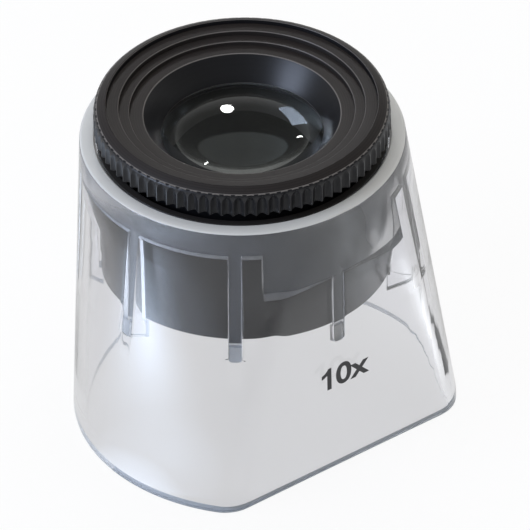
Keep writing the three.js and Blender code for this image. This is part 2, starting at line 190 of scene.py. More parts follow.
# %% helper: loft a closed ring of sections
def lofted_piece(name, levels, smooth=34):
    """levels[row][column] is a place; the last level joins up with the first."""
    columns = len(levels[0])
    start_clean()
    bpy.ops.mesh.primitive_circle_add(vertices=columns, radius=1, location=(0, 0, 0))
    piece = bpy.context.object
    piece.name = piece.data.name = name
    bpy.ops.object.mode_set(mode="EDIT")
    select_whole()
    for _ in levels:
        bpy.ops.mesh.extrude_region_move(TRANSFORM_OT_translate={"value": (0, 0, 1)})
    bpy.ops.object.mode_set(mode="OBJECT")
    closed_levels = levels + [levels[0]]
    for vert in piece.data.vertices:
        row = round(vert.co.z)
        column = round(math.atan2(-vert.co.x, vert.co.y) / math.tau * columns) % columns
        vert.co = closed_levels[row][column]
    bpy.ops.object.mode_set(mode="EDIT")
    tidy_shell(smooth)
    print(name, "has", len(piece.data.polygons), "faces")
    return piece


# %% helper: finish the bookkeeping of a piece
def settle(piece, body, slot, material, *nodes):
    """Make the piece ride on its body, stand for its CAD nodes and wear its material."""
    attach(piece, body)
    if nodes:
        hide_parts(*nodes)
    piece.data.materials.clear()
    piece.data.materials.append(material)


def finish_faces(piece, material, test):
    """Give the faces that pass the test, from radius, height and normal, another finish."""
    piece.data.materials.append(material)
    last = len(piece.data.materials) - 1
    count = 0
    for face in piece.data.polygons:
        if test(math.hypot(face.center.x, face.center.y), face.center.z, face.normal):
            face.material_index = last
            count += 1
    print(piece.name, "has", count, "faces in", material.name)


# %% [markdown]
# ## Tools for materials
#
# Colours are written as the sRGB hex values that a paint program shows, and one function turns them
# into the linear numbers that the renderer counts with. One small function adds a shader node, sets
# its values and links its inputs. Two more start every material, with the socket that gives a point's
# place on the object, and end every clear one in the same way.

# %% helpers: colour and nodes
def linear(hex_colour):
    channels = [int(hex_colour[i:i + 2], 16) / 255 for i in (1, 3, 5)]
    straight = [c / 12.92 if c <= 0.04045 else ((c + 0.055) / 1.055) ** 2.4 for c in channels]
    return (*straight, 1.0)


def add_node(tree, kind, settings=None, links=None):
    """Settings name a property of the node or one of its inputs. Links name an input and give the
    socket that feeds it, or the node whose first output does."""
    node = tree.nodes.new(kind)
    for key, value in (settings or {}).items():
        if isinstance(key, str) and hasattr(node, key):
            setattr(node, key, value)
        else:
            node.inputs[key].default_value = value
    for key, source in (links or {}).items():
        socket = source.outputs[0] if hasattr(source, "outputs") else source
        tree.links.new(socket, node.inputs[key])
    return node


def new_material(name):
    """An empty material, its tree, and the socket that gives each point's place on the object."""
    material = bpy.data.materials.new(name)
    material.use_nodes = True
    tree = material.node_tree
    tree.nodes.clear()
    return material, tree, add_node(tree, "ShaderNodeTexCoord").outputs["Object"]


def finish_clear(tree, shader, tint):
    """End a see-through material: for shadow rays it steps aside, so lamps reach what is inside."""
    rays = add_node(tree, "ShaderNodeLightPath")
    pass_light = add_node(tree, "ShaderNodeBsdfTransparent", {"Color": linear(tint)})
    mixed = add_node(tree, "ShaderNodeMixShader", None, {
        "Fac": rays.outputs["Is Shadow Ray"], 1: shader, 2: pass_light,
    })
    add_node(tree, "ShaderNodeOutputMaterial", None, {"Surface": mixed})


print("linear mid grey", linear("#808080")[:3])

# %% [markdown]
# ## Clear moulded acrylic
#
# The stand is PMMA, cast in a polished mould. It bends light with an index of 1.49 and is very
# slightly grey in thickness. Lamps should still reach the parts inside it, so for shadow rays the
# material steps aside for a Transparent shader. Faint flow waves from moulding, about 9 mm long, keep
# the large walls from looking like computer glass.

# %% material: clear acrylic
clear_acrylic, tree, place = new_material("clear_moulded_acrylic")
flow = add_node(tree, "ShaderNodeTexNoise", {"Scale": 1 / (9 * MM), "Detail": 1.0, "Roughness": 0.4},
                {"Vector": place})
ripple = add_node(tree, "ShaderNodeBump", {"Strength": 0.05, "Distance": 0.3 * MM}, {"Height": flow})
acrylic = add_node(tree, "ShaderNodeBsdfPrincipled", {
    "Base Color": linear("#f8f8fa"), "Roughness": 0.03, "IOR": 1.49, "Transmission Weight": 1.0,
}, {"Normal": ripple})
finish_clear(tree, acrylic, "#eeeeee")
print("made", clear_acrylic.name)

# %% [markdown]
# Three kinds of surface on the stand aren't polished. The collar's top was faced off after moulding, so
# it scatters light and reads as an even pale grey ring, and the ribs' ledges and ends are as pale. The
# faces that grip the sleeve keep the fine texture of their core pin, and show a little greyer than the
# bare sleeve behind the thin wall. The foot is rubbed dull by the table. All are the same acrylic,
# rough, with some of the light scattered back as if from a diffuse surface.

# %% function: satin acrylic
def satin_finish(name, colour, clear_share, rough_from, rough_to, patch):
    """The patch is how wide the cloudy spots in the satin are, in millimetres."""
    material, tree, place = new_material(name)
    cloud = add_node(tree, "ShaderNodeTexNoise", {"Scale": 1 / (patch * MM), "Detail": 3.0},
                     {"Vector": place})
    haze = add_node(tree, "ShaderNodeMapRange", {"To Min": rough_from, "To Max": rough_to},
                    {"Value": cloud})
    satin = add_node(tree, "ShaderNodeBsdfPrincipled", {
        "Base Color": linear(colour), "IOR": 1.49, "Transmission Weight": clear_share,
    }, {"Roughness": haze})
    finish_clear(tree, satin, "#dddddd")
    return material


faced_acrylic = satin_finish("faced_satin_acrylic", "#d6d6d3", 0.12, 0.5, 0.7, 1.5)
gripping_acrylic = satin_finish("textured_satin_acrylic", "#b9bcc0", 0.80, 0.24, 0.28, 3.0)
foot_acrylic = satin_finish("rubbed_foot_acrylic", "#a4abb1", 0.3, 0.4, 0.5, 1.5)
print("made", faced_acrylic.name, gripping_acrylic.name, foot_acrylic.name)

# %% [markdown]
# ## Black turned and moulded finishes
#
# The rings of the head show fine concentric marks of the tool that turned them, about three to the
# millimetre. A wave texture in rings about Z draws them as a small bump and a slight change of tone.
# The moulded sleeve and the knurl have no such marks, only a fine satin grain. The edges get a
# smoother finish in a lighter grey, which is a painted highlight along them.

# %% function: black satin finish with or without turning marks
def black_finish(name, colour, roughness, mark_pitch=0.0, mark_depth=0.0, tone=0.0, grain=0.15,
                 grain_depth=0.004):
    """Pitch, depths and grain are in millimetres; tone is how much the marks change the colour."""
    material, tree, place = new_material(name)
    speckle = add_node(tree, "ShaderNodeTexNoise",
                       {"Scale": 1 / (grain * MM), "Detail": 2.0, "Roughness": 0.6},
                       {"Vector": place})
    bump = add_node(tree, "ShaderNodeBump", {"Strength": 0.3, "Distance": grain_depth * MM},
                    {"Height": speckle})
    shade = add_node(tree, "ShaderNodeMapRange",
                     {"To Min": roughness - 0.05, "To Max": roughness + 0.05}, {"Value": speckle})
    finish = add_node(tree, "ShaderNodeBsdfPrincipled", {
        "Base Color": linear(colour), "Roughness": roughness, "IOR": 1.5,
    }, {"Roughness": shade, "Normal": bump})
    if mark_pitch:
        marks = add_node(tree, "ShaderNodeTexWave", {
            "wave_type": "RINGS", "rings_direction": "Z", "wave_profile": "SIN",
            "Scale": math.tau / (20 * mark_pitch * MM), "Distortion": 0.0, "Detail": 0.0,
        }, {"Vector": place})
        cut = add_node(tree, "ShaderNodeBump", {"Strength": 0.5, "Distance": mark_depth * MM},
                       {"Height": marks.outputs["Fac"], "Normal": bump})
        tree.links.new(cut.outputs["Normal"], finish.inputs["Normal"])
        darker, lighter = ((*(c * side for c in linear(colour)[:3]), 1.0)
                           for side in (1 - tone, 1 + tone))
        mix = add_node(tree, "ShaderNodeMix", {"data_type": "RGBA", 6: darker, 7: lighter},
                       {0: marks.outputs["Fac"]})
        tree.links.new(mix.outputs[2], finish.inputs["Base Color"])
    add_node(tree, "ShaderNodeOutputMaterial", None, {"Surface": finish})
    return material


turned_black = black_finish("turned_black_ring", "#241f1d", 0.56, 0.34, 0.005, 0.25)
# The lighter grey of the edge finish is a painted highlight on the broken edges.
edge_highlight_grey = black_finish("painted_edge_highlight_grey", "#6a6663", 0.32)
knurl_black = black_finish("moulded_black_knurl", "#17171a", 0.36)
sleeve_black = black_finish("moulded_black_sleeve", "#0e1013", 0.24, grain=0.5, grain_depth=0.0005)
cone_black = black_finish("moulded_black_cone", "#18181a", 0.36, 0.5, 0.003, 0.05, grain=0.35,
                          grain_depth=0.008)
flat_black = black_finish("flat_black_paint", "#080809", 0.8)
spacer_black = black_finish("anodised_black_spacer", "#3b3937", 0.5)
# A lighter black for the sleeve's top, painted light where the head's rim shades it.
sleeve_top_light_black = black_finish("sleeve_top_painted_light", "#2c2927", 0.6)
rubber_black = black_finish("nitrile_rubber", "#101011", 0.7)
print("black finishes:", turned_black.name, knurl_black.name, sleeve_black.name)

# %% [markdown]
# ## Optical glass
#
# Lenses are polished, so they have no grain at all. A Principled surface with full transmission and
# crown glass's own index, 1.517, does the bending, with a faint green tint of the glass. The rim of a
# lens is ground and not polished. Its plain grey is painted light, much lighter than the rim's own
# dark tone, because little light reaches it inside the tube.

# %% material: coated optical glass
def coated_glass(name, index, tint):
    material, tree, place = new_material(name)
    haze = add_node(tree, "ShaderNodeTexNoise", {"Scale": 1 / (4 * MM), "Detail": 2.0},
                    {"Vector": place})
    polish = add_node(tree, "ShaderNodeMapRange", {"To Min": 0.0, "To Max": 0.02}, {"Value": haze})
    glass = add_node(tree, "ShaderNodeBsdfPrincipled", {
        "Base Color": linear(tint), "IOR": index, "Transmission Weight": 1.0,
    }, {"Roughness": polish})
    finish_clear(tree, glass, "#f2f2f2")
    return material


crown_glass = coated_glass("coated_crown_glass", 1.517, "#f4f8f5")
# The rim's pale grey is painted light, much lighter than its own dark tone.
lens_rim_light_grey = black_finish("lens_rim_painted_light", "#a4a8a5", 0.7, grain=0.08)
print("made", crown_glass.name, lens_rim_light_grey.name)

# %% [markdown]
# ## The clear stand
#
# The stand is one hollow moulding. Outside it grows from a round collar to a wider foot with a flat
# front. Inside, the sleeve is held by a thick band under the collar, by a pad behind the flat front
# and by nine thin ribs with a small ledge at their ends. We loft it: each column is an upright
# section in one direction, and the inner wall steps from what touches the sleeve out to the thin
# wall. Every edge gets the small rounding of a real moulding, because those roundings are what
# catches the light in clear plastic.

# %% sizes of the stand
COLLAR_RADIUS = -stand_low.y
COLLAR_WALL = 2.2 * MM
SIDE_FLARE = stand_high.x - COLLAR_RADIUS
CORNER_RADIUS = 5.2 * MM
STAND_WALL = 1.7 * MM
COLLAR_BORE = COLLAR_RADIUS - COLLAR_WALL
LEAD_IN = 0.25 * MM
BAND_BOTTOM = COLLAR_TOP - 4.9 * MM
PAD_BOTTOM = COLLAR_TOP - 11.5 * MM
PAD_HALF_ANGLE = math.radians(30)
RIB_COUNT = 9
RIB_WIDTH = 1.8 * MM
RIB_END = COLLAR_TOP - 23.4 * MM
RIB_END_SLOPE = 0.6
sleeve_low, sleeve_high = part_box("guide_sleeve")
LEDGE_TOP = sleeve_low.z - 0.3 * MM
LEDGE_WIDTH = 0.6 * MM
print("collar radius", round(COLLAR_RADIUS / MM, 2), "flare", round(SIDE_FLARE / MM, 2))


# %% where the wall is
def wall_distance(angle, height, inset):
    """Distance from the axis to the wall in a direction, moved in by inset."""
    share = min(max((COLLAR_TOP - height) / COLLAR_TOP, 0), 1)
    forward = SIDE_FLARE * share
    radius = COLLAR_RADIUS + forward - inset
    front = COLLAR_RADIUS - inset
    corner = CORNER_RADIUS - inset
    across, ahead = abs(math.cos(angle)), -math.sin(angle)
    corner_ahead = front - corner
    corner_across = math.sqrt(max((radius - corner) ** 2 - (corner_ahead - forward) ** 2, 0))
    if ahead > 0 and front * across / ahead <= corner_across:
        return front / ahead
    along = across * corner_across + ahead * corner_ahead
    root = along * along - (corner_across ** 2 + corner_ahead ** 2 - corner ** 2)
    if along > 0 and root >= 0:
        reach = along + math.sqrt(root)
        side = corner_across * (reach * ahead - forward) - (corner_ahead - forward) * reach * across
        if side >= 0:
            return reach
    centre = ahead * forward
    return centre + math.sqrt(centre * centre - forward * forward + radius * radius)


print("foot, front to back:", round(wall_distance(-math.pi / 2, 0, 0) / MM, 2),
      round(wall_distance(math.pi / 2, 0, 0) / MM, 2))

# %% [markdown]
# A step between two surfaces has a rounded top edge and a rounded inner corner. We describe it once,
# as a list of how far along the step a line lies and how deep: measured down from the upper surface
# before the step, and up from the lower surface after it. Upright rib sides, the pad's ends and the
# band's lower edge all use it.

# %% one rounded step
EDGE = 0.10 * MM


def quarter_round(radius):
    """How far from the corner each of four lines lies, along the one face and along the other."""
    swings = [math.radians(30 * i) for i in range(4)]
    return [(radius * (1 - math.sin(swing)), radius * (1 - math.cos(swing))) for swing in swings]


ROUNDED_STEP = [(-along, ("upper", deep)) for along, deep in quarter_round(EDGE)]
ROUNDED_STEP += [(along, ("lower", deep)) for along, deep in reversed(quarter_round(EDGE))]
UPPER, LOWER = ("upper", 0.0), ("lower", 0.0)


def share_of(depth, gap):
    """How far a depth is from the upper to the lower surface, from 0 to 1."""
    near, distance = depth
    distance = min(distance, gap * 0.4)
    return distance / gap if near == "upper" else 1 - distance / gap


print(len(ROUNDED_STEP), "lines across one step")

# %% [markdown]
# The columns come next: a few across each rib's face, a rounded step at each of its sides and at the
# pad's two ends, and an even filling between them. A rib's sides are parallel, so its columns are
# placed by their distance from its middle, and no filling column may stand inside it. Behind the
# front, where nothing is flat, every second filling column is enough.

# %% columns of the stand
FRONT = -math.pi / 2
rib_turns = [math.tau * i / RIB_COUNT for i in range(RIB_COUNT)]
columns = []
for heading in rib_turns:
    for share in (-0.33, -0.17, 0.0, 0.17, 0.33):
        columns.append({"rib": heading, "across": RIB_WIDTH * share, "rib_depth": UPPER})
    for side in (-1, 1):
        for offset, depth in ROUNDED_STEP:
            columns.append({"rib": heading, "across": side * (RIB_WIDTH / 2 + offset),
                            "rib_depth": depth})
for side in (-1, 1):
    for offset, depth in ROUNDED_STEP:
        columns.append({"turn": side * (PAD_HALF_ANGLE + offset / COLLAR_BORE), "pad_depth": depth})


def turn_of(column):
    """A column's heading from the front, where it touches the sleeve."""
    return column["rib"] + column["across"] / COLLAR_BORE if "rib" in column else column["turn"]


taken = [turn_of(column) % math.tau for column in columns]
FILL = math.radians(0.75)
COARSE_FROM = math.radians(75)
RIB_TURN = (RIB_WIDTH / 2 + EDGE) / COLLAR_BORE


def turn_to_nearest(heading, others):
    """The smallest turn between a heading and any of the others."""
    return min(abs((heading - t + math.pi) % math.tau - math.pi) for t in others)


for i in range(round(math.tau / FILL)):
    heading = i * FILL
    ahead_turn = min(heading, math.tau - heading)
    coarse = ahead_turn > COARSE_FROM and i % 2
    in_rib = turn_to_nearest(heading, rib_turns) < RIB_TURN
    if turn_to_nearest(heading, taken) > FILL * 0.6 and not coarse and not in_rib:
        columns.append({"turn": heading})
for column in columns:
    inside = turn_to_nearest(turn_of(column), [0]) < PAD_HALF_ANGLE
    column.setdefault("pad_depth", UPPER if inside else LOWER)
    column.setdefault("rib_depth", LOWER)


def column_order(column):
    """By heading. Of two with one heading, the line nearer to the rib or pad is the upper one."""
    outward = 1 if column.get("across", column.get("turn", 0)) > 0 else -1
    lowered = (column["rib_depth"][0], column["pad_depth"][0]).count("lower")
    return round(turn_of(column) % math.tau, 9), outward * lowered


columns.sort(key=column_order)
print(len(columns), "columns")


# %% [markdown]
# The levels go up the outside, over the collar, down the bore and inner wall, and back under the
# foot. A level inside carries how deep the band, the pad and the ribs are there, and the depth that
# counts is the shallowest of the three, because they are joined. A rib's end slopes up towards the
# wall and is rounded off at its sides.

# %% levels of the stand
def place_on(radius, angle, height):
    return radius * math.cos(angle), radius * math.sin(angle), height


def column_angle(column, radius):
    if "rib" in column:
        return FRONT + column["rib"] + math.asin(max(-1, min(1, column["across"] / radius)))
    return FRONT + column["turn"]


def outer_level(height, inset):
    angles = [column_angle(column, COLLAR_RADIUS) for column in columns]
    return [place_on(wall_distance(angle, height, 0) - inset, angle, height) for angle in angles]


def ring_level(height, radius):
    return [place_on(radius, column_angle(column, radius), height) for column in columns]


TIP_ROUND = 0.5 * MM
SETTLING_ROUNDS = 5


def tip_rise(column):
    """How much higher a rib's end is here than at the rib's middle."""
    past = abs(column.get("across", 0.0)) - (RIB_WIDTH / 2 - TIP_ROUND)
    past = min(max(past, 0.0), TIP_ROUND)
    return TIP_ROUND - math.sqrt(TIP_ROUND ** 2 - past ** 2)


def inner_level(height, band, pad, rib, contact=COLLAR_BORE, lift=0.0, slope=0.0):
    """Height and reach depend on each other, so each place is worked out a few times over."""
    level = []
    for column in columns:
        reach = COLLAR_BORE
        tip = tip_rise(column) if slope else 0.0
        for _ in range(SETTLING_ROUNDS):
            angle = column_angle(column, reach)
            rise = slope * (reach - COLLAR_BORE) + tip
            wall = wall_distance(angle, height + rise, STAND_WALL) + lift
            gap = wall - contact
            depth = min(
                share_of(band, gap),
                max(share_of(pad, gap), share_of(column["pad_depth"], gap)),
                max(share_of(rib, gap), share_of(column["rib_depth"], gap)),
            )
            reach = contact + depth * gap
        level.append(place_on(reach, angle, height + rise))
    return level


# %% stack the levels
FOOT_EDGE = 0.45 * MM
TOP_EDGE = 0.40 * MM
LEDGE_EDGE = 0.12 * MM
LEDGE_RADIUS = COLLAR_BORE - LEDGE_WIDTH
OUTER_RISES = 14
INNER_FALLS = 8
levels = [outer_level(along, deep) for along, deep in reversed(quarter_round(FOOT_EDGE))]
for i in range(1, OUTER_RISES):
    levels.append(outer_level(FOOT_EDGE + (COLLAR_TOP - TOP_EDGE - FOOT_EDGE) * i / OUTER_RISES, 0))
levels += [outer_level(COLLAR_TOP - along, deep) for along, deep in quarter_round(TOP_EDGE)]
levels.append(ring_level(COLLAR_TOP, COLLAR_BORE + LEAD_IN))
levels.append(ring_level(COLLAR_TOP - LEAD_IN, COLLAR_BORE))
levels.append(ring_level(COLLAR_TOP - 2.5 * MM, COLLAR_BORE))
for offset, depth in ROUNDED_STEP:
    levels.append(inner_level(BAND_BOTTOM - offset, depth, UPPER, UPPER))
levels.append(inner_level((BAND_BOTTOM + PAD_BOTTOM) / 2, LOWER, UPPER, UPPER))
for offset, depth in ROUNDED_STEP:
    levels.append(inner_level(PAD_BOTTOM - offset, LOWER, depth, UPPER))
for share in (0.33, 0.67):
    levels.append(inner_level(PAD_BOTTOM + (LEDGE_TOP - PAD_BOTTOM) * share, LOWER, LOWER, UPPER))
levels.append(inner_level(LEDGE_TOP, LOWER, LOWER, UPPER))
levels.append(inner_level(LEDGE_TOP, LOWER, LOWER, UPPER, LEDGE_RADIUS + LEDGE_EDGE))
levels.append(inner_level(LEDGE_TOP - LEDGE_EDGE, LOWER, LOWER, UPPER, LEDGE_RADIUS))
for offset, depth in ROUNDED_STEP:
    levels.append(inner_level(RIB_END - offset, LOWER, LOWER, depth, LEDGE_RADIUS, slope=RIB_END_SLOPE))
low_wall = RIB_END - EDGE
for i in range(1, INNER_FALLS):
    height = low_wall + (FOOT_EDGE - low_wall) * i / INNER_FALLS
    levels.append(inner_level(height, LOWER, LOWER, LOWER, LEDGE_RADIUS))
for along, deep in quarter_round(FOOT_EDGE):
    levels.append(inner_level(along, LOWER, LOWER, LOWER, LEDGE_RADIUS, deep))
print(len(levels), "levels")

# %% loft the stand
stand = lofted_piece("clear_stand", levels, 40)
settle(stand, "stand", "clear_acrylic", clear_acrylic, "stand_body")

# %% [markdown]
# The satin finishes go on by place: the pale one on the collar's top, the ledges and the ribs' ends,
# the textured one on what touches the sleeve, and the rubbed one under the front of the foot. The
# back of the foot, seen only through both walls, gets the pale finish instead, as painted light.

# %% satin faces of the stand
FACED, GRIPPING, RUBBED = 1, 2, 3
for satin in (faced_acrylic, gripping_acrylic, foot_acrylic):
    stand.data.materials.append(satin)
# Behind this line the foot's underside gets the pale finish as painted light.
PAINTED_LIGHT_FOOT_FROM = -4 * MM
TOP_FACE = COLLAR_TOP - 0.28 * MM
RIB_FOOT = RIB_END - 0.3 * MM
TOUCH = 0.03 * MM
for face in stand.data.polygons:
    reach, height = math.hypot(face.center.x, face.center.y), face.center.z
    if height > TOP_FACE and face.normal.z > 0.5:
        face.material_index = FACED
    elif height < FOOT_EDGE and face.normal.z < -0.1:
        face.material_index = RUBBED if face.center.y < PAINTED_LIGHT_FOOT_FROM else FACED
    elif abs(reach - COLLAR_BORE) < TOUCH and height > LEDGE_TOP:
        face.material_index = GRIPPING
    elif RIB_FOOT < height < LEDGE_TOP and (abs(reach - LEDGE_RADIUS) < TOUCH or face.normal.z < -0.5):
        face.material_index = FACED
print("satin faces", sum(face.material_index > 0 for face in stand.data.polygons))

# %% [markdown]
# ## The guide sleeve
#
# The black sleeve stands on the ribs' ledges and guides the head. Its outside is a plain cylinder
# with softly rounded ends; inside it has the stand's half of the three-start thread.

# %% turn the sleeve
SLEEVE_BORE = 19.1 * MM
SLEEVE_CHAMFER = 0.4 * MM
sleeve_radius = sleeve_high.x
sleeve = turned_piece("black_guide_sleeve", [
    (SLEEVE_BORE, sleeve_low.z, 0.1 * MM),
    (sleeve_radius, sleeve_low.z, 0.2 * MM),
    (sleeve_radius, sleeve_high.z, 0.15 * MM),
    (SLEEVE_BORE + SLEEVE_CHAMFER, sleeve_high.z),
    (SLEEVE_BORE, sleeve_high.z - SLEEVE_CHAMFER),
])


# %% [markdown]
# A thread ridge is a small wedge-shaped section that climbs as it goes round. Blender's Screw
# modifier does just that. The section is a plane with its corners moved, and the open ends are filled.
# The thread's halves are half a step apart in height, so that no ridge touches another. The sleeve's
# top faces lie in the shade under the head's rim, and get a lighter black there as painted light.

# %% helper: thread ridges
THREAD_STARTS = 3
THREAD_LEAD = 6.0 * MM
RIDGE_FOOT, RIDGE_TIP, RIDGE_SINK = 1.1 * MM, 0.5 * MM, 0.1 * MM


def thread_ridge(name, root, crest, bottom, length, start_angle):
    """One ridge, sunk a little into the wall that it stands on, from bottom up over a length."""
    foot, tip = RIDGE_FOOT, RIDGE_TIP
    start_clean()
    bpy.ops.mesh.primitive_plane_add(size=1 * MM)
    ridge = bpy.context.object
    ridge.name = ridge.data.name = name
    sink = -RIDGE_SINK if crest > root else RIDGE_SINK
    corners = [(root + sink, -foot / 2), (crest, -tip / 2), (crest, tip / 2), (root + sink, foot / 2)]
    mid = bottom + foot / 2
    in_turn = sorted(ridge.data.vertices, key=lambda v: math.atan2(v.co.y, v.co.x))
    for vert, (r, z) in zip(in_turn, corners):
        vert.co = (r, 0, mid + z)
    rise = length - foot
    screw = ridge.modifiers.new("climb", "SCREW")
    screw.axis = "Z"
    screw.angle = math.tau * rise / THREAD_LEAD
    screw.screw_offset = rise
    screw.steps = screw.render_steps = round(ROUND_STEPS * rise / THREAD_LEAD)
    bpy.ops.object.modifier_apply(modifier=screw.name)
    bpy.ops.object.mode_set(mode="EDIT")
    select_whole()
    bpy.ops.mesh.remove_doubles(threshold=SAME_PLACE)
    bpy.ops.mesh.select_all(action="DESELECT")
    bpy.ops.mesh.select_mode(type="EDGE")
    bpy.ops.mesh.select_non_manifold(extend=False, use_boundary=True, use_wire=False, use_verts=False,
                                     use_multi_face=False, use_non_contiguous=False)
    bpy.ops.mesh.fill_holes(sides=6)
    bpy.ops.mesh.select_mode(type="VERT")
    select_whole()
    bpy.ops.transform.rotate(value=-start_angle, orient_axis="Z", center_override=(0, 0, 0))
    tidy_shell(30)
    return ridge


def join_into(piece, others):
    start_clean(piece)
    for other in others:
        other.select_set(True)
    bpy.ops.object.join()


def add_thread(piece, name, root, crest, bottom, length, phase=0.0):
    """Join the ridges to a piece, all at one height and evenly spaced round it."""
    turns = [phase + math.tau * i / THREAD_STARTS for i in range(THREAD_STARTS)]
    join_into(piece, [thread_ridge(f"{name}_{i}", root, crest, bottom, length, start)
                      for i, start in enumerate(turns)])


# %% cut the sleeve's thread and settle it
SLEEVE_THREAD_TOP = COLLAR_TOP - 2.6 * MM
SLEEVE_THREAD = 5.6 * MM
SLEEVE_CREST = 18.3 * MM
MALE_THREAD_BOTTOM = COLLAR_TOP - 9.0 * MM
sleeve_thread_bottom = SLEEVE_THREAD_TOP - SLEEVE_THREAD
shift = sleeve_thread_bottom - MALE_THREAD_BOTTOM - THREAD_LEAD / THREAD_STARTS / 2
add_thread(sleeve, "sleeve_ridge", SLEEVE_BORE, SLEEVE_CREST, sleeve_thread_bottom, SLEEVE_THREAD,
           math.tau * shift / THREAD_LEAD)
settle(sleeve, "stand", "sleeve_black", sleeve_black, "guide_sleeve")
# The sleeve's top faces get the lighter black, painted light in the rim's shade.
painted_light_from = sleeve_high.z - SLEEVE_CHAMFER - 0.02 * MM
finish_faces(sleeve, sleeve_top_light_black, lambda radius, height, normal: height > painted_light_from and normal.z > 0.5)

# %% [markdown]
# ## The focus ring
#
# The head's outer ring has eighty straight flutes round its rim, cut with a round-nosed tool that
# leaves narrow ridges between them. Above the upright part the rim rounds over to a sloping land, and
# the flutes rise out of the metal just below the land's edge, so each one ends in an arch and the
# edge itself stays whole. We loft it with eleven columns to a flute, and one row of vertices follows
# the arches exactly.

# %% sizes of the focus ring
ring_low, ring_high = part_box("focus_ring")
FLUTES = 80
RIM_RADIUS = sleeve_radius + 0.45 * MM
FLUTE_DEPTH = 0.65 * MM
RIM_UNDER = COLLAR_TOP + 1.45 * MM
RIM_BREAK = 0.15 * MM
LAND_TOP = ring_high.z
LAND_EDGE = LAND_TOP - 0.7 * MM
ROUND_WIDTH = 0.45 * MM
ROUND_HEIGHT = 1.0 * MM
LAND_OUTER = RIM_RADIUS - ROUND_WIDTH
LAND_INNER = LAND_OUTER - 1.3 * MM
BEZEL_SEAT = RIM_UNDER + 1.3 * MM
FLANGE_SEAT = RIM_UNDER + 0.2 * MM
SKIRT_BORE = 16.0 * MM
SKIRT_RADIUS = 18.0 * MM
NECK_RADIUS = 16.9 * MM
FLANGE_BORE = 17.6 * MM
SKIRT_SHOULDER = 33.15 * MM
HEAD_CREST = 18.8 * MM
HEAD_THREAD = 7.2 * MM
print("rim radius", round(RIM_RADIUS / MM, 2), "land from", round(LAND_INNER / MM, 2))

# %% the flute in plan and in side view
flute_shares = [-0.05, 0.05, 0.11, 0.19, 0.28, 0.38, 0.5, 0.62, 0.72, 0.81, 0.89]
flute_angles = [(i + share) * math.tau / FLUTES for i in range(FLUTES) for share in flute_shares]
RUN_OUT_FROM = LAND_EDGE - 1.55 * MM
RUN_OUT_RADIUS = 2.1 * MM
RIDGE_SHARE = 0.45


def ridge_height(share):
    """Height of the surface over the flute's floor in plan, from 0 at mid flute to 1 on the ridge."""
    across = abs(share - 0.5) / RIDGE_SHARE
    return min(across ** 1.6, 1)


def floor_radius(height):
    """The flute's floor: straight, then rising out on the round nose of the tool."""
    over = min(max(height - RUN_OUT_FROM, 0), RUN_OUT_RADIUS * 0.99)
    return RIM_RADIUS - FLUTE_DEPTH + RUN_OUT_RADIUS - math.sqrt(RUN_OUT_RADIUS ** 2 - over ** 2)


def rim_outside(height):
    """The rim before the flutes are cut."""
    rise = min(max((height - (LAND_EDGE - ROUND_HEIGHT)) / ROUND_HEIGHT, 0), 1)
    return LAND_OUTER + ROUND_WIDTH * math.sqrt(1 - rise * rise)


def flute_radius(share, height):
    return floor_radius(height) + ridge_height(share) * FLUTE_DEPTH


def arch_height(share):
    """The height at which a line of the flute leaves the rim's surface, found by halving."""
    low, high = LAND_EDGE - ROUND_HEIGHT - 0.05 * MM, LAND_EDGE - 0.02 * MM
    for _ in range(30):
        middle = (low + high) / 2
        if flute_radius(share, middle) < rim_outside(middle):
            low = middle
        else:
            high = middle
    return low


arch_heights = [arch_height(share) for share in flute_shares]
print("arches from", round(min(arch_heights) / MM, 2), "to", round(max(arch_heights) / MM, 2))


# %% levels of the focus ring
def plain_ring(radius, height):
    return [place_on(radius, angle, height) for angle in flute_angles]


def fluted_ring(place_at):
    """place_at(share, arch) gives a radius and a height for one column of the flute."""
    places = [place_at(share, arch) for share, arch in zip(flute_shares, arch_heights)] * FLUTES
    return [place_on(radius, angle, height) for (radius, height), angle in zip(places, flute_angles)]


def in_flute(rise):
    def place_at(share, arch):
        start = RIM_UNDER + RIM_BREAK
        height = start + (arch - start) * rise
        return min(flute_radius(share, height), rim_outside(height)), height
    return place_at


def above_arch(rise):
    def place_at(share, arch):
        height = arch + (LAND_EDGE - arch) * rise
        return rim_outside(height), height
    return place_at


ring_levels = [fluted_ring(lambda share, arch: (flute_radius(share, RIM_UNDER) - RIM_BREAK, RIM_UNDER))]
ring_levels += [fluted_ring(in_flute(rise)) for rise in (0, 0.35, 0.6, 0.72, 0.82, 0.9, 0.96, 1.0)]
ring_levels += [fluted_ring(above_arch(rise)) for rise in (0.35, 0.65, 0.85, 1.0)]
inside = [
    (LAND_OUTER - 0.06 * MM, LAND_EDGE + 0.06 * MM),
    ((LAND_OUTER + LAND_INNER) / 2, (LAND_EDGE + LAND_TOP) / 2 + 0.06 * MM),
    (LAND_INNER + 0.14 * MM, LAND_TOP),
    (LAND_INNER + 0.04 * MM, LAND_TOP - 0.02 * MM),
    (LAND_INNER, LAND_TOP - 0.1 * MM),
    (LAND_INNER, BEZEL_SEAT), (FLANGE_BORE, BEZEL_SEAT),
    (FLANGE_BORE, FLANGE_SEAT), (SKIRT_BORE, FLANGE_SEAT),
    (SKIRT_BORE, ring_low.z), (NECK_RADIUS, ring_low.z),
    (NECK_RADIUS, SKIRT_SHOULDER), (SKIRT_RADIUS, SKIRT_SHOULDER),
    (SKIRT_RADIUS, RIM_UNDER),
]
ring_levels += [plain_ring(radius, height) for radius, height in inside]
focus = lofted_piece("fluted_focus_ring", ring_levels, 24)
add_thread(focus, "head_ridge", SKIRT_RADIUS, HEAD_CREST, MALE_THREAD_BOTTOM, HEAD_THREAD)
settle(focus, "head", "head_black", knurl_black, "focus_ring")

